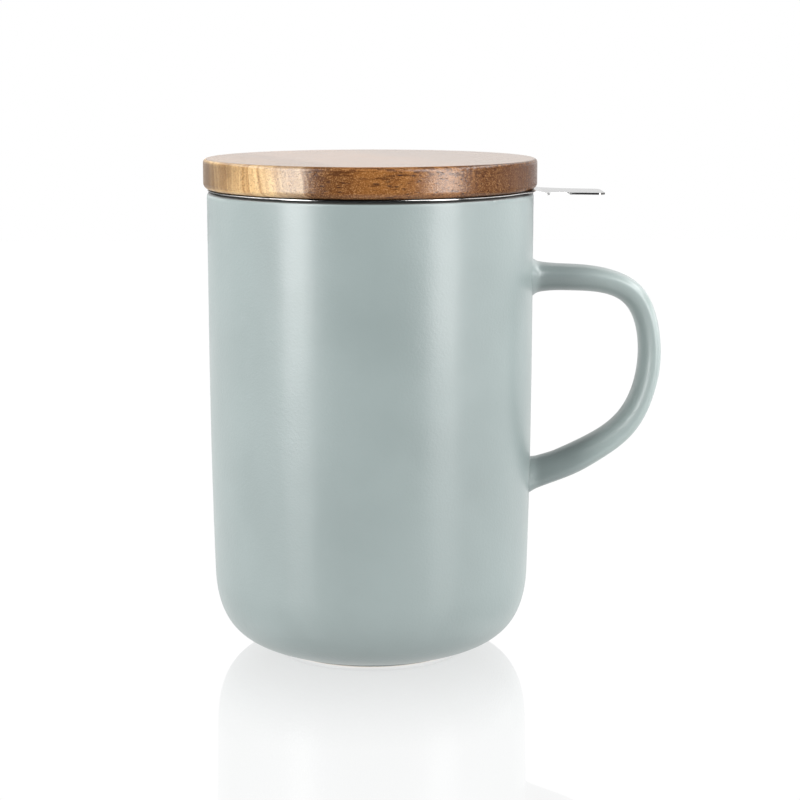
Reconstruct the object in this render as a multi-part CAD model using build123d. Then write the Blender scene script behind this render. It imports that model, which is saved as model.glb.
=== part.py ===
from build123d import *
import os
from math import cos, pi, radians, sin, sqrt, tan

os.makedirs("parts", exist_ok=True)

# A stoneware tea mug with a lift-out steel infuser and a wooden lid.
# Millimetres. The origin is on the mug's axis at the plane that it stands on.
# +Z is up and +X points towards the handle and the infuser's tab.

# --- Mug body ---
mug_height = 122.9            # standing plane to rim
mug_radius = 43.0             # outside of the straight upper wall
wall = 4.0
floor_thickness = 6.0         # standing plane to the inside of the floor
inner_heel_radius = 17.0      # inside corner between wall and floor
rim_outer_round = 1.5
rim_inner_round = 1.2
straight_wall_from = 92.0     # height at which the outside becomes straight
heel_height = 21.1            # height at which the heel runs into the tapered wall
heel_inset = 0.83             # outside there, in from mug_radius
heel_angle = 17.8             # degrees above level at which the heel leaves the foot
heel_foot_pull = 6.05         # how far the heel holds that direction
heel_wall_pull = 17.3         # how far it holds the wall's direction
taper_slope = 0.029           # wall's lean at the top of the heel
taper_pull = 20.0             # how far up the wall holds that lean
upright_pull = 30.0           # how far below straight_wall_from it is upright already
foot_radius = 25.6            # outside of the unglazed foot ring
foot_height = 0.8             # foot ring below the glazed shoulder
foot_ledge = 1.0              # shoulder's overhang past the foot ring
foot_ring_width = 4.2
foot_recess = 1.8             # hollow inside the foot ring
recess_draft = 1.1            # recess is this much smaller in radius at its top
foot_bevel = 0.3

# --- Mug handle ---
handle_drop = 23.1            # rim down to the middle of the upper root
handle_span = 54.0            # between the middles of the two roots
handle_reach = 31.4           # wall to the centreline's farthest point
handle_squareness = 2.35      # exponent of the section's oval; 2 is an ellipse
handle_crown = 0.22           # egg shape: how far the widest line sits outward
section_points = 16
# centreline: share of the reach out of the wall, share of the span below the upper root
handle_line = [
    (-0.080, 0.000),
    (0.436, 0.007),
    (0.799, 0.063),
    (0.965, 0.197),
    (0.992, 0.385),
    (0.938, 0.606),
    (0.744, 0.769),
    (0.435, 0.888),
    (-0.080, 1.003),
]
handle_leaves = (1, 0)        # direction of the centreline at the upper root
handle_returns = (-0.95, -0.30)  # and at the lower root
# share of the centreline's length, thickness across the loop, depth along Y
handle_sections = [
    (0.12, 6.95, 12.8),
    (0.20, 6.65, 12.2),
    (0.30, 6.45, 11.8),
    (0.42, 5.85, 11.4),
    (0.56, 5.9, 11.4),
    (0.68, 6.4, 11.9),
    (0.80, 7.1, 12.5),
    (0.89, 7.4, 13.0),
]
upper_root_size = (7.2, 13.2)  # thickness and depth of the bar where it meets the wall
lower_root_size = (7.5, 13.4)
upper_luting = 1.4            # smoothed clay on each side of the bar at the wall
lower_luting = 0.5
# distance out of the wall, share of the luting there; it begins inside the wall
luting_profile = [(-2.4, 2.6), (-1.2, 1.7), (0.0, 1.0), (1.2, 0.42), (2.8, 0.16), (5.0, 0.0)]

# --- Infuser rim: flange, collar and tab stamped from one sheet ---
sheet = 0.5
flange_inset = 0.2            # flange's edge in from the mug's outer radius
flange_edge_round = 0.32      # on the upper edge, from stamping
collar_clearance = 1.4        # collar to the mug's inner wall
collar_depth = 10.0           # flange top to the collar's lower edge
collar_bend = 0.6             # inside radius of the bend
tab_length = 18.3             # mug_radius to the tab's tip
tab_width = 16.0
tab_root_round = 20.0         # inside corner between the tab's side and the flange, in plan
tab_tip_round = 2.2
tab_step_run = 2.5            # flange's edge to the line where the tab levels out
tab_step_drop = 0.65          # flange's level to the tab's there
tab_droop = 0.9               # degrees, past the step

# --- Infuser wall and base ---
basket_clearance = 25.4       # inside of the mug's floor to the underside of the base
wall_lap = 4.0                # tube welded inside the collar over this height
base_lap = 5.0                # base's skirt welded inside the tube
base_bend = 1.6
slot_width = 0.9
slot_length = 8.0
slot_row_gap = 3.0
slot_columns = 40
slot_margin_top = 6.0         # plain band below the collar
slot_margin_bottom = 5.0      # plain band above the base's skirt
base_rings = [(7.0, 6), (14.0, 12), (21.0, 18), (28.0, 24)]  # radius, slot count
base_slot_length = 4.0

# --- Lid ---
lid_overhang = 0.9            # lid past the mug's outer radius
lid_thickness = 7.9
lid_top_round = 1.1
lid_bottom_round = 1.6
plug_clearance = 2.8          # plug to the inside of the infuser's tube
plug_thickness = 8.0
plug_round = 1.0
groove_depth = 2.4
groove_height = 3.8
groove_offset = 2.2           # lid's underside to the top of the groove
seal_groove_clearance = 0.1   # ring to groove, on each of its three sides
seal_collar_clearance = 0.15  # lips to the collar
seal_body = 2.2               # radial thickness of the ring without its lips
lip_thickness = 0.9
lip_inset = 0.35              # upper and lower lips in from the ring's faces

# --- Worked out from the values above ---
inner_radius = mug_radius - wall
flange_top = mug_height + sheet
flange_radius = mug_radius - flange_inset
collar_radius = inner_radius - collar_clearance
tube_radius = collar_radius - sheet
tube_inner_radius = tube_radius - sheet
base_radius = tube_inner_radius
basket_bottom = floor_thickness + basket_clearance
tube_top = flange_top - collar_depth + wall_lap
lid_radius = mug_radius + lid_overhang
plug_radius = tube_inner_radius - plug_clearance
groove_radius = plug_radius - groove_depth
groove_top = flange_top - groove_offset


def spin(face):
    """Solid of revolution about the mug's axis, with its seam on the side away from the handle."""
    return Rot(0, 0, 180) * revolve(Plane.XZ * face, Axis.Z)


def turned(outline):
    """Solid of revolution from a closed outline of (radius, height) points."""
    return spin(make_face(Polyline(*outline, close=True)))


def edges_at(solid, radius, height):
    """Circular edges about the axis with this radius at this height."""
    found = solid.edges().filter_by(GeomType.CIRCLE)
    return found.filter_by(
        lambda e: abs(e.radius - radius) < 1e-4 and abs(e.arc_center.Z - height) < 1e-4
    )


def mug_blank():
    """The mug's outside as one filled solid: foot ring, rounded heel, tapered and straight wall."""
    shoulder = Vector(foot_radius + foot_ledge, foot_height)
    heel_top = Vector(mug_radius - heel_inset, heel_height)
    straight = Vector(mug_radius, straight_wall_from)
    leaving = Vector(heel_foot_pull, 0).rotate(Axis.Z, heel_angle)
    lean = Vector(taper_slope, 1)
    heel = Bezier(shoulder, shoulder + leaving, heel_top - lean * heel_wall_pull, heel_top)
    upright = straight - Vector(0, upright_pull)
    taper = Bezier(heel_top, heel_top + lean * taper_pull, upright, straight)
    wall_line = Polyline(straight, (mug_radius, mug_height), (0, mug_height), (0, 0))
    foot_line = Polyline((0, 0), (foot_radius, 0), (foot_radius, foot_height), shoulder)
    return spin(make_face(foot_line + heel + taper + wall_line))


def mug_cavity():
    """The room inside the mug, with its rounded lower corner."""
    depth = mug_height - floor_thickness
    room = Pos(0, 0, floor_thickness) * extrude(Circle(inner_radius), depth)
    return fillet(edges_at(room, inner_radius, floor_thickness), inner_heel_radius)


def foot_hollow():
    """The shallow tapered recess inside the foot ring."""
    wide = foot_radius - foot_ring_width
    return turned([(0, 0), (wide, 0), (wide - recess_draft, foot_recess), (0, foot_recess)])


def mug_body():
    body = mug_blank() - mug_cavity() - foot_hollow()
    body = fillet(edges_at(body, mug_radius, mug_height), rim_outer_round)
    body = fillet(edges_at(body, inner_radius, mug_height), rim_inner_round)
    foot_edges = edges_at(body, foot_radius, 0) + edges_at(body, foot_radius - foot_ring_width, 0)
    return chamfer(foot_edges, foot_bevel)


def handle_section(thickness, depth):
    """Egg-shaped closed outline: local X is the depth, local Y points out of the loop."""
    points = []
    for step in range(section_points):
        angle = 2 * pi * step / section_points
        across, outward = cos(angle), sin(angle)
        size = abs(across) ** handle_squareness + abs(outward) ** handle_squareness
        shrink = size ** (-1 / handle_squareness)
        swell = 1 + handle_crown * outward * shrink
        points.append((depth / 2 * across * shrink * swell, thickness / 2 * outward * shrink))
    return make_face(Spline(*points, periodic=True))


def root_sections(path, size, luting, from_end):
    """Outlines parallel to the wall, from inside it outward, swelling where the clay is smoothed."""
    heading = abs((path % from_end).X)
    inside = abs(handle_line[0][0]) * handle_reach
    facing = {"x_dir": (0, 1, 0), "z_dir": (1 - 2 * from_end, 0, 0)}
    sections = []
    for out, share in luting_profile:
        along = (inside + out) / heading / path.length
        spread = 2 * luting * share
        section = handle_section(size[0] / heading + spread, size[1] + spread)
        sections.append(Plane(path @ abs(from_end - along), **facing) * section)
    return sections


def handle_loop():
    """The handle's bent bar before it is trimmed to the wall."""
    root_z = mug_height - handle_drop
    centres = [
        (mug_radius + out * handle_reach, root_z - down * handle_span) for out, down in handle_line
    ]
    path = Plane.XZ * Spline(*centres, tangents=[handle_leaves, handle_returns])
    sections = root_sections(path, upper_root_size, upper_luting, 0)
    for share, thickness, depth in handle_sections:
        across = Plane(path @ share, x_dir=(0, 1, 0), z_dir=path % share)
        sections.append(across * handle_section(thickness, depth))
    sections += reversed(root_sections(path, lower_root_size, lower_luting, 1))
    return loft(sections)


def mug_handle():
    """The loop luted to the wall and trimmed to the mug's outside."""
    return handle_loop() - mug_blank()


def tab_outline():
    """Plan of the tab: parallel sides, wide inside corners at the flange, rounded tip."""
    half = tab_width / 2
    tip_x = mug_radius + tab_length
    plan = Circle(flange_radius) + Pos(tip_x / 2, 0) * Rectangle(tip_x, tab_width)
    tips = plan.vertices().filter_by(lambda v: abs(v.X - tip_x) < 1e-6)
    plan = fillet(tips, tab_tip_round)
    straight_to = tip_x - tab_tip_round - sheet
    widest = (straight_to**2 + half**2 - flange_radius**2) / (2 * (flange_radius - half))
    corner = min(tab_root_round, widest)
    corners = plan.vertices().filter_by(lambda v: abs(sqrt(v.X**2 + v.Y**2) - flange_radius) < 1e-6)
    plan = fillet(corners.filter_by(lambda v: v.X > 0), corner)
    # the corner's arc leaves the flange's circle at this X; what lies before it is flange alone
    reach = flange_radius + corner
    leaves_at = sqrt(reach**2 - (half + corner) ** 2) * flange_radius / reach
    flange = Circle(flange_radius - flange_edge_round)
    before = Pos(leaves_at - flange_radius, 0) * Rectangle(2 * flange_radius, 2 * flange_radius)
    return plan - flange - before


def tab():
    """One bent strip: level with the flange at its root, a step down, then nearly level."""
    tip_x = mug_radius + tab_length
    middle = flange_top - sheet / 2
    stepped = Vector(flange_radius + tab_step_run, middle - tab_step_drop)
    fall = (tip_x - stepped.X) * tan(radians(tab_droop))
    overrun = 2 * sheet
    tip = Vector(tip_x + overrun, stepped.Y - fall)
    line = Polyline((0, middle), (flange_radius, middle), stepped, tip)
    strip = extrude(Plane.XZ * trace(line, sheet), flange_radius, both=True)
    return strip & Pos(0, 0, flange_top - collar_depth) * extrude(tab_outline(), 2 * collar_depth)


def infuser_rim():
    """Flange resting on the rim, bent down into a collar, with the lifting tab."""
    outline = [
        (flange_radius, flange_top - sheet),
        (flange_radius, flange_top),
        (tube_radius, flange_top),
        (tube_radius, flange_top - collar_depth),
        (collar_radius, flange_top - collar_depth),
        (collar_radius, flange_top - sheet),
    ]
    ring = turned(outline)
    ring = fillet(edges_at(ring, tube_radius, flange_top), collar_bend + sheet)
    ring = fillet(edges_at(ring, collar_radius, flange_top - sheet), collar_bend)
    ring = fillet(edges_at(ring, flange_radius, flange_top), flange_edge_round)
    return ring + tab()


def slot_rows():
    """Lower ends of the slots, row by row, in the height left between the plain bands."""
    top = flange_top - collar_depth - slot_margin_top
    bottom = basket_bottom + base_lap + slot_margin_bottom
    pitch = slot_length + slot_row_gap
    count = int((top - bottom + slot_row_gap) // pitch)
    start = (top + bottom - count * pitch + slot_row_gap) / 2
    return [start + row * pitch for row in range(count)]


def infuser_wall():
    """Welded tube with rows of upright slots, each row half a step round from the last."""
    height = tube_top - basket_bottom
    ring = Circle(tube_radius) - Circle(tube_inner_radius)
    tube = Pos(0, 0, basket_bottom) * extrude(ring, height)
    step = 360 / slot_columns
    cutter = Box(4 * sheet, slot_width, slot_length, align=(Align.CENTER, Align.CENTER, Align.MIN))
    cutters = []
    for row, z in enumerate(slot_rows()):
        turn = step / 2 * (row % 2)
        places = PolarLocations(tube_radius, slot_columns, start_angle=turn)
        cutters += [Pos(0, 0, z) * place * cutter for place in places]
    return tube - cutters


def infuser_base():
    """Pressed cap: a slotted floor with a skirt that stands inside the tube."""
    skirt_top = basket_bottom + base_lap
    outline = [
        (0, basket_bottom),
        (base_radius, basket_bottom),
        (base_radius, skirt_top),
        (base_radius - sheet, skirt_top),
        (base_radius - sheet, basket_bottom + sheet),
        (0, basket_bottom + sheet),
    ]
    cap = turned(outline)
    cap = fillet(edges_at(cap, base_radius, basket_bottom), base_bend + sheet)
    cap = fillet(edges_at(cap, base_radius - sheet, basket_bottom + sheet), base_bend)
    slots = Sketch()
    for radius, count in base_rings:
        slots += [place * Rectangle(base_slot_length, slot_width) for place in PolarLocations(radius, count)]
    return cap - Pos(0, 0, basket_bottom - sheet) * extrude(slots, 3 * sheet)


def lid_disc():
    disc = Pos(0, 0, flange_top) * extrude(Circle(lid_radius), lid_thickness)
    disc = fillet(edges_at(disc, lid_radius, flange_top + lid_thickness), lid_top_round)
    return fillet(edges_at(disc, lid_radius, flange_top), lid_bottom_round)


def lid_plug():
    """Smaller disc glued under the lid, with the groove that holds the seal."""
    bottom = flange_top - plug_thickness
    plug = Pos(0, 0, bottom) * extrude(Circle(plug_radius), plug_thickness)
    plug = fillet(edges_at(plug, plug_radius, bottom), plug_round)
    groove = Circle(plug_radius + groove_depth) - Circle(groove_radius)
    return plug - Pos(0, 0, groove_top - groove_height) * extrude(groove, groove_height)


def lid_seal():
    """Silicone ring in the plug's groove, with two lips that reach for the collar."""
    inside = groove_radius + seal_groove_clearance
    body = inside + seal_body
    tip = tube_radius - seal_collar_clearance
    top = groove_top - seal_groove_clearance
    bottom = groove_top - groove_height + seal_groove_clearance
    upper = top - lip_inset
    lower = bottom + lip_inset
    outline = [
        (inside, bottom),
        (body, bottom),
        (body, lower),
        (tip, lower + lip_thickness / 2),
        (tip, lower + lip_thickness),
        (body, lower + lip_thickness),
        (body, upper - lip_thickness),
        (tip, upper - lip_thickness / 2),
        (tip, upper),
        (body, upper),
        (body, top),
        (inside, top),
    ]
    return turned(outline)


parts = {
    "mug_body": mug_body,
    "mug_handle": mug_handle,
    "infuser_rim": infuser_rim,
    "infuser_wall": infuser_wall,
    "infuser_base": infuser_base,
    "lid_disc": lid_disc,
    "lid_plug": lid_plug,
    "lid_seal": lid_seal,
}

for name, make in parts.items():
    export_step(make(), f"parts/{name}.step")
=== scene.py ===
import math

import bpy
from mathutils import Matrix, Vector

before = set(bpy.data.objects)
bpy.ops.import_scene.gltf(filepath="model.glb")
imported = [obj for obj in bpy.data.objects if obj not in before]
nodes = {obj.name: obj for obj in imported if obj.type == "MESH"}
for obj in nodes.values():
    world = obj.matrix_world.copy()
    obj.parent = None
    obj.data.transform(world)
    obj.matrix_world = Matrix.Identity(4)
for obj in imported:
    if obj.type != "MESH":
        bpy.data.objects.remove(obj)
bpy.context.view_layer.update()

scene = bpy.context.scene

# Lengths are in metres, angles in degrees, and colours are linear. +X is the camera's right.
# A fade is a pair of values: the first where a look is absent, the second where it is full.
# A scale is how many cells of a noise there are in a metre.
WHITE = (1, 1, 1, 1)

# --- Camera: in front of the mug's axis, looking a little down and to the right ---
CAMERA_PLACE = (0.0, -0.540, 0.16024)
CAMERA_PITCH = 9.843
CAMERA_YAW = 0.8286
CAMERA_LENS = 91.827
CAMERA_SENSOR = 36.0
CAMERA_CLIP = (0.01, 100)

# --- Lights. Azimuth 0 is on the camera's side, 90 towards +X. Glow is a light's brightness ---
# Upright lights in pairs: name, azimuth, distance, bottom, width, height, left and right glow.
LIGHT_PAIRS = [
    ("strip", 50.5, 0.55, 0.0, 0.20, 0.75, 12.4, 11.2),
    ("bank", 82, 1.3, 0.02, 0.62, 0.34, 3.0, 3.5),
    ("wing", 112, 1.3, 0.02, 0.75, 0.34, 2.1, 3.3),
    ("bank_upper", 82, 1.3, 0.80, 0.62, 0.62, 7.2, 8.4),
    ("wing_upper", 112, 1.3, 0.80, 0.75, 0.62, 5.0, 7.9),
    ("far", 145, 1.5, 0.02, 0.8, 1.4, 1.2, 1.4),
]
BACKDROP_DISTANCE = 1.5
BACKDROP_SIZE = 1.1
BACKDROP_GLOW = 1.0
TOP_LIGHT_HEIGHT = 1.7
TOP_LIGHT_SIZE = 3.0
TOP_LIGHT_GLOW = 0.29
# The world's brightness as the object is lit by it, and as the camera sees it.
WORLD_GLOW = 0.03
WORLD_SEEN = 1.0

# --- Floor: how far it reaches from the mug's axis, and its finish ---
FLOOR_WIDTH = 1.5
FLOOR_BACK = 1.15
FLOOR_FRONT = 0.30
FLOOR_DROP = 0.00005
FLOOR_GLOW = 1.01
FLOOR_IOR = 1.5
FLOOR_ROUGHNESS = 0.02
FLOOR_POLISH = (1.62, 0.66)
FLOOR_POLISH_RADII = (0.028, 0.090)


# ---------------------------------------------------------------- node helpers
class Shader:
    """A material's node tree, with short calls for the nodes that the finishes share."""

    def __init__(self, name):
        self.material = bpy.data.materials.new(name)
        self.material.use_nodes = True
        self.tree = self.material.node_tree
        self.principled = self.tree.nodes["Principled BSDF"]
        coordinates = self.tree.nodes.new("ShaderNodeTexCoord")
        self.place = coordinates.outputs["Object"]
        self.normal = coordinates.outputs["Normal"]

    def feed(self, socket, value):
        if isinstance(value, bpy.types.NodeSocket):
            self.tree.links.new(value, socket)
        else:
            socket.default_value = value

    def node(self, kind, **inputs):
        made = self.tree.nodes.new(kind)
        for key, value in inputs.items():
            self.feed(made.inputs[key.replace("_", " ")], value)
        return made

    def set(self, **inputs):
        for key, value in inputs.items():
            self.feed(self.principled.inputs[key.replace("_", " ")], value)

    def math(self, operation, a, b=0.0):
        made = self.tree.nodes.new("ShaderNodeMath")
        made.operation = operation
        self.feed(made.inputs[0], a)
        self.feed(made.inputs[1], b)
        return made.outputs[0]

    def plus(self, a, b):
        return self.math("ADD", a, b)

    def times(self, a, b):
        return self.math("MULTIPLY", a, b)

    def radius(self, a, b):
        """Distance from the line where both coordinates are 0."""
        squares = self.plus(self.math("POWER", a, 2), self.math("POWER", b, 2))
        return self.math("SQRT", squares)

    def axes(self, source):
        return self.node("ShaderNodeSeparateXYZ", Vector=source).outputs

    def faces(self, axis):
        """How squarely the surface faces along an axis, either way, from 0 to 1."""
        return self.math("ABSOLUTE", self.axes(self.normal)[axis])

    def point(self, x, y):
        return self.node("ShaderNodeCombineXYZ", X=x, Y=y).outputs[0]

    def scaled(self, factors):
        return self.node("ShaderNodeMapping", Scale=factors, Vector=self.place).outputs[0]

    def noise(self, scale, detail=2, roughness=0.5, vector=None):
        made = self.node(
            "ShaderNodeTexNoise", Scale=scale, Detail=detail, Roughness=roughness,
            Vector=vector or self.place,
        )
        return made.outputs["Fac"]

    def cells(self, scale, vector=None):
        made = self.node("ShaderNodeTexVoronoi", Scale=scale, Vector=vector or self.place)
        return made.outputs["Distance"]

    def ramp(self, value, fade, levels=(0.0, 1.0), smooth=True):
        """The first level where the value is at the fade's start, and the second at its end."""
        made = self.tree.nodes.new("ShaderNodeMapRange")
        made.interpolation_type = "SMOOTHSTEP" if smooth else "LINEAR"
        keys = ("Value", "From Min", "From Max", "To Min", "To Max")
        for key, given in zip(keys, (value, *fade, *levels)):
            self.feed(made.inputs[key], given)
        return made.outputs[0]

    def between(self, share, first, second, smooth=True):
        """A number that goes from the first to the second as the share goes from 0 to 1."""
        return self.ramp(share, (0, 1), (first, second), smooth)

    def mix(self, share, first, second, blend="MIX"):
        made = self.tree.nodes.new("ShaderNodeMix")
        made.data_type = "RGBA"
        made.blend_type = blend
        self.feed(made.inputs["Factor"], share)
        sockets = [socket for socket in made.inputs if socket.type == "RGBA"]
        for socket, colour in zip(sockets, (first, second)):
            is_socket = isinstance(colour, bpy.types.NodeSocket)
            self.feed(socket, colour if is_socket else (*colour, 1))
        return next(socket for socket in made.outputs if socket.type == "RGBA")

    def tint(self, under, colour, value, fade, most=1.0):
        """Lay a colour over another, up to a share of it, as the value goes through the fade."""
        return self.mix(self.ramp(value, fade, (0.0, most)), under, colour)

    def bump(self, height, distance, under=None):
        made = self.node("ShaderNodeBump", Height=height, Distance=distance)
        if under is not None:
            self.feed(made.inputs["Normal"], under)
        return made.outputs[0]


def paint(material, *names):
    for name in names:
        nodes[name].data.materials.clear()
        nodes[name].data.materials.append(material)


# ---------------------------------------------------------------- glaze
SAGE = ((0.176, 0.211, 0.208), (0.189, 0.226, 0.223))
SAGE_SPECK = (0.135, 0.152, 0.148)
# Painted shade for the handle's roots.
SAGE_ROOT_SHADE = (0.138, 0.168, 0.166)
# Painted light for the handle's outer bend.
SAGE_BEND_LIGHT = (0.245, 0.289, 0.283)
# Painted shade for the crevice under the flange.
SAGE_CREVICE_SHADE = (0.02, 0.018, 0.016)
CLAY = ((0.36, 0.30, 0.23), (0.50, 0.43, 0.34))
GLAZE_ROUGHNESS = (0.33, 0.39)
GLAZE_ROUGHNESS_SCALE = 55
CLAY_ROUGHNESS = 0.85
CLOUD_SCALE = 28
SPECK_SCALE = 620
SPECK_PATCH_SCALE = 240
RIPPLE_SCALE = 75
RIPPLE_DEPTH = 0.00012
PEEL_SCALE = 1500
PEEL_DEPTH = 0.00005
CLAY_SCALE = 1900
CLAY_DEPTH = 0.00008

# Fades by height: the glaze line on the foot ring, and the outer round of the rim.
GLAZE_LINE = (0.0005, 0.0002)
GLAZE_LINE_WAVER = 0.0004
GLAZE_LINE_SCALE = 90
RIM_ROUND_START = (0.1220, 0.1223)
RIM_ROUND_END = (0.12285, 0.1227)
# The same round by its distance from the axis.
RIM_ROUND_OUTSIDE = (0.0412, 0.0416)
# Fades along X: the handle's roots, which start at the wall, and its outer bend.
ROOT_START = (0.0434, 0.0460)
ROOT_END = (0.056, 0.046)
OUTER_BEND = (0.051, 0.066)


def glaze():
    """Satin sage glaze on stoneware, and bare fired clay on the foot ring."""
    s = Shader("glaze")
    along, across, height = s.axes(s.place)
    cloud = s.noise(CLOUD_SCALE, detail=3, roughness=0.55)
    body = s.mix(s.ramp(cloud, (0.35, 0.65)), *SAGE)
    speck = s.ramp(s.cells(SPECK_SCALE), (0.10, 0.04))
    spots = s.times(speck, s.ramp(s.noise(SPECK_PATCH_SCALE, detail=1), (0.56, 0.62)))
    body = s.mix(s.times(spots, 0.35), body, SAGE_SPECK)
    grit = s.noise(CLAY_SCALE, detail=3, roughness=0.7)
    uneven = s.plus(height, s.times(s.noise(GLAZE_LINE_SCALE), GLAZE_LINE_WAVER))
    bare = s.ramp(uneven, GLAZE_LINE)
    # painted shade at the handle's roots, where the wall shades them, and a paler colour round
    # its outer bend as painted light
    root_shade = s.times(s.ramp(along, ROOT_START), s.ramp(along, ROOT_END, (0.0, 0.60)))
    body = s.mix(root_shade, body, SAGE_ROOT_SHADE)
    # painted light: the outer bend is paler
    body = s.tint(body, SAGE_BEND_LIGHT, along, OUTER_BEND)
    # painted shade: the outer round of the rim, in the crevice under the flange, is made near
    # black
    crown = s.times(s.ramp(height, RIM_ROUND_START), s.ramp(height, RIM_ROUND_END))
    outside = s.ramp(s.radius(along, across), RIM_ROUND_OUTSIDE, (0.0, 0.93))
    body = s.mix(s.times(crown, outside), body, SAGE_CREVICE_SHADE)
    s.set(Base_Color=s.mix(bare, body, s.mix(grit, *CLAY)))
    satin = s.ramp(s.noise(GLAZE_ROUGHNESS_SCALE), (0.3, 0.7), GLAZE_ROUGHNESS)
    s.set(Roughness=s.between(bare, satin, CLAY_ROUGHNESS, smooth=False))
    ripple = s.bump(s.noise(RIPPLE_SCALE), RIPPLE_DEPTH)
    peel = s.bump(s.noise(PEEL_SCALE, roughness=0.6), PEEL_DEPTH, under=ripple)
    s.set(Normal=s.bump(s.times(grit, bare), CLAY_DEPTH, under=peel))
    s.set(IOR=1.5, Coat_Weight=0.15, Coat_Roughness=0.2)
    return s.material


# ---------------------------------------------------------------- wood
# Each pair of colours is a pale ring and a dark ring.
SAPWOOD = ((0.56, 0.385, 0.185), (0.34, 0.200, 0.080))
HEARTWOOD = ((0.215, 0.088, 0.022), (0.125, 0.043, 0.009))
DEEP_HEARTWOOD = ((0.100, 0.040, 0.012), (0.062, 0.021, 0.006))
SAPWOOD_END = (0.066, 0.036, 0.018)
HEARTWOOD_END = (0.050, 0.018, 0.006)
OUTER_SAPWOOD = (0.18, 0.15, 0.12)
BORDER = (0.050, 0.020, 0.007)
FIGURE_DARK = (0.07, 0.024, 0.007)
FIBRE_PALE = (0.36, 0.17, 0.055)
FIBRE_DARK = (0.05, 0.016, 0.005)
GRIT_PALE = (0.52, 0.29, 0.12)
GRIT_DARK = (0.06, 0.022, 0.008)
STREAK_DARK = (0.045, 0.014, 0.004)
PORE_DARK = (0.018, 0.006, 0.003)
# Painted sheen: a paler colour added on the flat faces.
FLAT_PAINTED_SHEEN = (0.12, 0.085, 0.055)
WOOD_ROUGHNESS = (0.25, 0.34)
WOOD_DEPTH = 0.00003

# Scales along the grain, and across it both ways.
WAVER_SCALE = (14, 30, 30)
FIGURE_SCALE = (35, 110, 110)
STREAK_SCALE = (85, 1500, 1500)
PORE_SCALE = (240, 1500, 1500)
FIBRE_SCALE = (420, 2600, 2600)
GRIT_SCALE = 3100

# The pith, which the rings go round, runs along X behind the lid, at the lid's height.
PITH_Y = 0.105
PITH_Z = 0.124
PITH_WAVER = 0.010
RING_SCALE_ALONG = 6
RING_SCALE_OUT = 900

# The zones' borders run slantwise over the lid. Fades by the place along X on the lid's middle.
ZONE_SLANT = 0.42
ZONE_FINGERS = 0.010
ZONE_DRIFT = 0.012
OUTER_SAPWOOD_ZONE = (-0.0400, -0.0370)
HEARTWOOD_ZONE = (-0.0344, -0.0292)
BORDER_ZONE = (-0.018, -0.029)
DEEP_ZONE = (0.002, 0.018)
# Streaks gather near the rim's upper edge: a fade by height, and the noise that makes a streak.
STREAK_HEIGHTS = (0.1270, 0.1298)
STREAK_THRESHOLDS = (0.62, 0.53)


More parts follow.
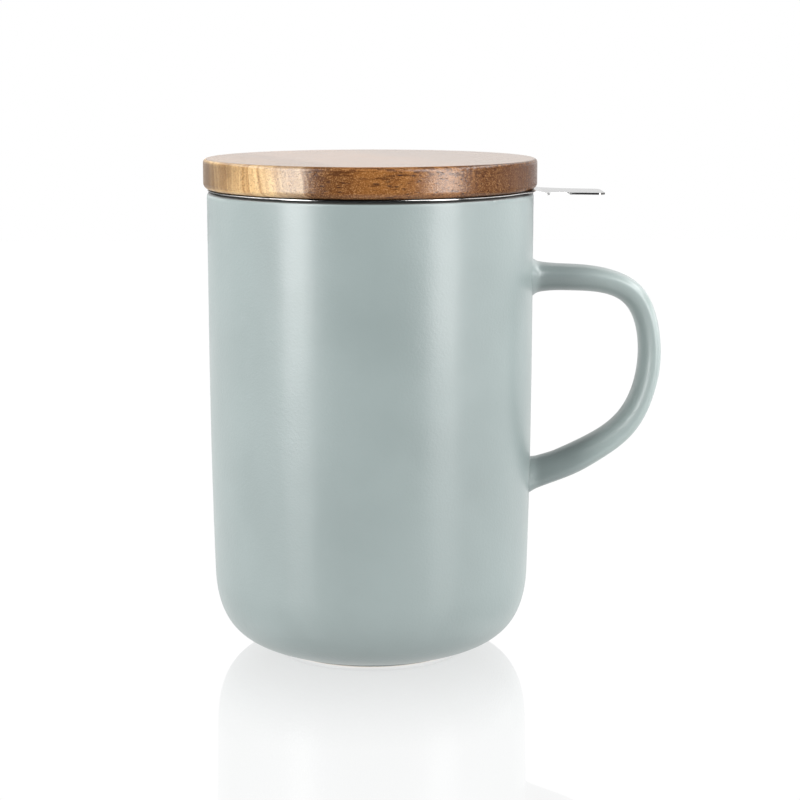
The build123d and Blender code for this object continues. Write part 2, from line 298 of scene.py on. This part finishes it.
def wood():
    """Waxed acacia, quarter sawn, grain along X; pale sapwood at the front left."""
    s = Shader("wood")
    along, across, up = s.axes(s.place)
    waver = s.noise(1, vector=s.scaled(WAVER_SCALE))
    from_pith_y = s.plus(s.plus(across, -PITH_Y), s.times(waver, PITH_WAVER))
    rings = s.radius(from_pith_y, s.plus(up, -PITH_Z))
    ring_place = s.point(s.times(rings, RING_SCALE_OUT), s.times(along, RING_SCALE_ALONG))
    ring = s.noise(1, roughness=0.6, vector=ring_place)
    band = s.ramp(ring, (0.38, 0.62))
    fibre = s.noise(1, detail=3, roughness=0.7, vector=s.scaled(FIBRE_SCALE))
    streak = s.noise(1, detail=3, roughness=0.6, vector=s.scaled(STREAK_SCALE))
    figure = s.noise(1, vector=s.scaled(FIGURE_SCALE))
    grit = s.noise(GRIT_SCALE, roughness=0.7)
    pore_cells = s.cells(1, s.scaled(PORE_SCALE))
    pores = s.times(s.ramp(pore_cells, (0.34, 0.14)), s.ramp(streak, (0.42, 0.58)))

    slant = s.plus(along, s.times(across, ZONE_SLANT))
    fingers = s.times(s.plus(ring, -0.5), ZONE_FINGERS)
    drift = s.times(s.plus(waver, -0.5), ZONE_DRIFT)
    drifted = s.plus(slant, drift)
    flat = s.ramp(s.faces("Z"), (0.90, 0.99))
    heart = s.ramp(s.plus(s.plus(slant, fingers), drift), HEARTWOOD_ZONE)
    heart = s.math("MAXIMUM", heart, s.times(flat, 0.7))

    gold = s.tint(s.mix(band, *SAPWOOD), OUTER_SAPWOOD, slant, OUTER_SAPWOOD_ZONE, 0.43)
    deeper = s.ramp(drifted, DEEP_ZONE)
    brown = s.mix(deeper, s.mix(band, *HEARTWOOD), s.mix(band, *DEEP_HEARTWOOD))
    colour = s.mix(heart, gold, brown)
    border = s.times(heart, s.ramp(drifted, BORDER_ZONE, (0.0, 0.65)))
    colour = s.mix(border, colour, BORDER)
    colour = s.tint(colour, FIGURE_DARK, figure, (0.40, 0.70), 0.40)
    colour = s.tint(colour, FIBRE_PALE, fibre, (0.52, 0.75), 0.35)
    colour = s.tint(colour, FIBRE_DARK, fibre, (0.48, 0.25), 0.55)
    colour = s.tint(colour, GRIT_PALE, grit, (0.52, 0.66), 0.32)
    colour = s.tint(colour, GRIT_DARK, grit, (0.48, 0.34), 0.55)
    threshold = s.ramp(up, STREAK_HEIGHTS, STREAK_THRESHOLDS)
    streaks = s.math("GREATER_THAN", streak, threshold)
    colour = s.mix(s.times(streaks, s.between(heart, 0.1, 0.7)), colour, STREAK_DARK)
    colour = s.mix(s.times(pores, s.between(heart, 0.35, 0.9)), colour, PORE_DARK)

    # end grain drinks the oil: darker, and matt
    end = s.faces("X")
    thirsty = s.ramp(end, (0.68, 0.95), (0.0, 0.84), smooth=False)
    colour = s.mix(thirsty, colour, s.mix(heart, SAPWOOD_END, HEARTWOOD_END))
    # the flat faces: a paler colour added as painted sheen, and smoother
    s.set(Base_Color=s.mix(flat, colour, FLAT_PAINTED_SHEEN, "ADD"))
    wax = s.times(s.between(heart, 0.65, 0.47), s.ramp(border, (0.0, 0.6), (1.0, 0.5)))
    matt = s.ramp(s.plus(end, s.times(heart, 0.07)), (0.53, 0.72), (1.0, 0.14))
    s.set(Specular_IOR_Level=s.times(wax, matt))
    turned = s.times(s.ramp(fibre, (0.2, 0.8), WOOD_ROUGHNESS), s.between(heart, 1.1, 0.83))
    s.set(Roughness=s.times(turned, s.between(flat, 1.0, 0.8)))
    relief = s.math("SUBTRACT", s.plus(fibre, grit), pores)
    s.set(Normal=s.bump(s.times(relief, s.between(flat, 1.0, 0.15)), WOOD_DEPTH))
    s.set(IOR=1.5)
    return s.material


# ---------------------------------------------------------------- steel
STEEL = ((0.66, 0.66, 0.655), (0.74, 0.74, 0.735))
STEEL_STAMPED = (0.30, 0.29, 0.285)
# Painted shade on the flange's edge, also used near black on the tab's tip.
STEEL_PAINTED_DARK = (0.03, 0.028, 0.026)
STEEL_SPECULAR = (0.72, 0.72, 0.72, 1)
BRIGHT_ROUGHNESS = 0.12
SATIN_ROUGHNESS = 0.26
SMEAR_SCALE = 60
SMEAR_ROUGHENS = 1.35
BRUSH_SCALE = 5200
BRUSH_DEPTH_PER_ROUGHNESS = 0.00003

# The flange's stamped edge: fades by radius, and by height for its bright thread.
FLANGE_EDGE = (0.04235, 0.04250)
THREAD_START = (0.12292, 0.12298)
THREAD_END = (0.12318, 0.12310)
# Where that edge runs out into the tab: fades along X and across it.
BEFORE_TAB = (0.0394, 0.0386)
TAB_CORNER_ALONG = (0.0432, 0.0415)
TAB_CORNER_ACROSS = (0.0083, 0.0092)
TAB_TIP = (0.0592, 0.0600)


def steel(name, roughness):
    """Stainless steel, brushed in rings round the axis where it was spun."""
    s = Shader(name)
    along, across, up = s.axes(s.place)
    radius = s.radius(along, across)
    lines = s.noise(BRUSH_SCALE, roughness=0.6, vector=s.point(radius, up))
    smear = s.noise(SMEAR_SCALE, detail=3, roughness=0.6)
    # the flange's edge: a bright thread between painted shade above it, where the lid shades it,
    # and painted shade below it, in the gap over the rim
    thread = s.times(s.ramp(up, THREAD_START), s.ramp(up, THREAD_END))
    # the painted shade runs on round the tab's corners, under the lid's edge
    corner_across = s.ramp(s.math("ABSOLUTE", across), TAB_CORNER_ACROSS)
    corner = s.times(corner_across, s.ramp(along, TAB_CORNER_ALONG))
    beside_tab = s.math("MAXIMUM", s.ramp(along, BEFORE_TAB), corner)
    rim = s.times(s.ramp(radius, FLANGE_EDGE), beside_tab)
    painted_dark = s.times(rim, s.math("SUBTRACT", 1.0, thread))
    # the tab's tip, on its faces that are not flat, is made near black too
    edge_faces = s.ramp(s.faces("Z"), (0.7, 0.4))
    tip = s.times(edge_faces, s.ramp(along, TAB_TIP, (0.0, 0.93)))
    painted_dark = s.math("MAXIMUM", painted_dark, tip)
    stamped = s.mix(rim, s.mix(smear, *STEEL), STEEL_STAMPED)
    s.set(Base_Color=s.mix(painted_dark, stamped, STEEL_PAINTED_DARK))
    s.set(Metallic=1.0, Specular_Tint=STEEL_SPECULAR)
    s.set(Roughness=s.ramp(smear, (0.3, 0.7), (roughness, roughness * SMEAR_ROUGHENS)))
    s.set(Normal=s.bump(lines, BRUSH_DEPTH_PER_ROUGHNESS * roughness))
    return s.material


# ---------------------------------------------------------------- silicone
MILKY = ((0.72, 0.71, 0.68), (0.80, 0.79, 0.76))
SILICONE_ROUGHNESS = (0.42, 0.55)
SILICONE_SCATTER = 0.002
BLOOM_SCALE = 180
SILICONE_SCALE = 2500
SILICONE_DEPTH = 0.00001


def silicone():
    """Milky silicone with a faint bloom."""
    s = Shader("silicone")
    bloom = s.noise(BLOOM_SCALE, detail=3, roughness=0.6)
    s.set(Base_Color=s.mix(bloom, *MILKY))
    s.set(Roughness=s.ramp(bloom, (0.3, 0.7), SILICONE_ROUGHNESS))
    s.set(Subsurface_Weight=0.35, Subsurface_Scale=SILICONE_SCATTER, IOR=1.42)
    s.set(Normal=s.bump(s.noise(SILICONE_SCALE), SILICONE_DEPTH))
    return s.material


# ---------------------------------------------------------------- stage
def build_camera():
    data = bpy.data.cameras.new("camera")
    data.lens = CAMERA_LENS
    data.sensor_width = CAMERA_SENSOR
    data.clip_start, data.clip_end = CAMERA_CLIP
    camera = bpy.data.objects.new("camera", data)
    camera.location = CAMERA_PLACE
    camera.rotation_euler = (math.radians(90 - CAMERA_PITCH), 0, math.radians(-CAMERA_YAW))
    scene.collection.objects.link(camera)
    scene.camera = camera


def floor_finish():
    """Glossy white acrylic, lit from below, with its best polish close round the mug."""
    s = Shader("floor")
    tree = s.tree
    along, across, _ = s.axes(tree.nodes.new("ShaderNodeNewGeometry").outputs["Position"])
    far = s.radius(along, across)
    fresnel = s.node("ShaderNodeFresnel", IOR=FLOOR_IOR).outputs[0]
    polish = s.times(fresnel, s.ramp(far, FLOOR_POLISH_RADII, FLOOR_POLISH, smooth=False))
    glow = s.node("ShaderNodeEmission", Color=WHITE, Strength=FLOOR_GLOW).outputs[0]
    mirror = s.node("ShaderNodeBsdfGlossy", Color=WHITE, Roughness=FLOOR_ROUGHNESS).outputs[0]
    mix = s.node("ShaderNodeMixShader", Fac=polish)
    tree.links.new(glow, mix.inputs[1])
    tree.links.new(mirror, mix.inputs[2])
    tree.links.new(mix.outputs[0], tree.nodes["Material Output"].inputs["Surface"])
    tree.nodes.remove(s.principled)
    return s.material


def build_floor():
    side, depth = FLOOR_WIDTH / 2, (FLOOR_BACK + FLOOR_FRONT) / 2
    corners = [(-side, -depth, 0), (side, -depth, 0), (side, depth, 0), (-side, depth, 0)]
    mesh = bpy.data.meshes.new("floor")
    mesh.from_pydata(corners, [], [(0, 1, 2, 3)])
    floor = bpy.data.objects.new("floor", mesh)
    floor.location = (0, (FLOOR_BACK - FLOOR_FRONT) / 2, -FLOOR_DROP)
    scene.collection.objects.link(floor)
    floor.data.materials.append(floor_finish())


def build_world():
    """White to the camera; a dimmer even light on the object."""
    world = bpy.data.worlds.new("studio")
    world.use_nodes = True
    tree = world.node_tree
    light = tree.nodes["Background"]
    seen = tree.nodes.new("ShaderNodeBackground")
    for background, strength in ((light, WORLD_GLOW), (seen, WORLD_SEEN)):
        background.inputs["Color"].default_value = WHITE
        background.inputs["Strength"].default_value = strength
    path = tree.nodes.new("ShaderNodeLightPath")
    mix = tree.nodes.new("ShaderNodeMixShader")
    tree.links.new(path.outputs["Is Camera Ray"], mix.inputs[0])
    tree.links.new(light.outputs[0], mix.inputs[1])
    tree.links.new(seen.outputs[0], mix.inputs[2])
    tree.links.new(mix.outputs[0], tree.nodes["World Output"].inputs["Surface"])
    scene.world = world


def area_light(name, place, target, width, height, glow):
    """Rectangular light that faces a target and that the camera doesn't see."""
    data = bpy.data.lights.new(name, "AREA")
    data.shape = "RECTANGLE"
    data.size, data.size_y = width, height
    data.energy = glow * math.pi * width * height
    made = bpy.data.objects.new(name, data)
    made.location = place
    made.rotation_euler = (target - place).to_track_quat("-Z", "Y").to_euler()
    scene.collection.objects.link(made)
    made.visible_camera = False


def upright_light(name, azimuth, distance, bottom, width, height, glow):
    angle = math.radians(azimuth)
    middle = bottom + height / 2
    place = Vector((math.sin(angle) * distance, -math.cos(angle) * distance, middle))
    area_light(name, place, Vector((0, 0, middle)), width, height, glow)


def build_lights():
    for name, azimuth, distance, bottom, width, height, left_glow, right_glow in LIGHT_PAIRS:
        spot = (distance, bottom, width, height)
        upright_light("left_" + name, -azimuth, *spot, left_glow)
        upright_light("right_" + name, azimuth, *spot, right_glow)
    upright_light(
        "backdrop", 180, BACKDROP_DISTANCE, 0.0, BACKDROP_SIZE, BACKDROP_SIZE, BACKDROP_GLOW
    )
    area_light(
        "top", Vector((0, 0, TOP_LIGHT_HEIGHT)), Vector((0, 0, 0)),
        TOP_LIGHT_SIZE, TOP_LIGHT_SIZE, TOP_LIGHT_GLOW,
    )


build_camera()
build_floor()
build_world()
scene.view_settings.view_transform = "Standard"
build_lights()
paint(glaze(), "mug_body", "mug_handle")
paint(steel("bright_steel", BRIGHT_ROUGHNESS), "infuser_rim")
paint(steel("satin_steel", SATIN_ROUGHNESS), "infuser_wall", "infuser_base")
paint(wood(), "lid_disc", "lid_plug")
paint(silicone(), "lid_seal")

bpy.context.view_layer.update()
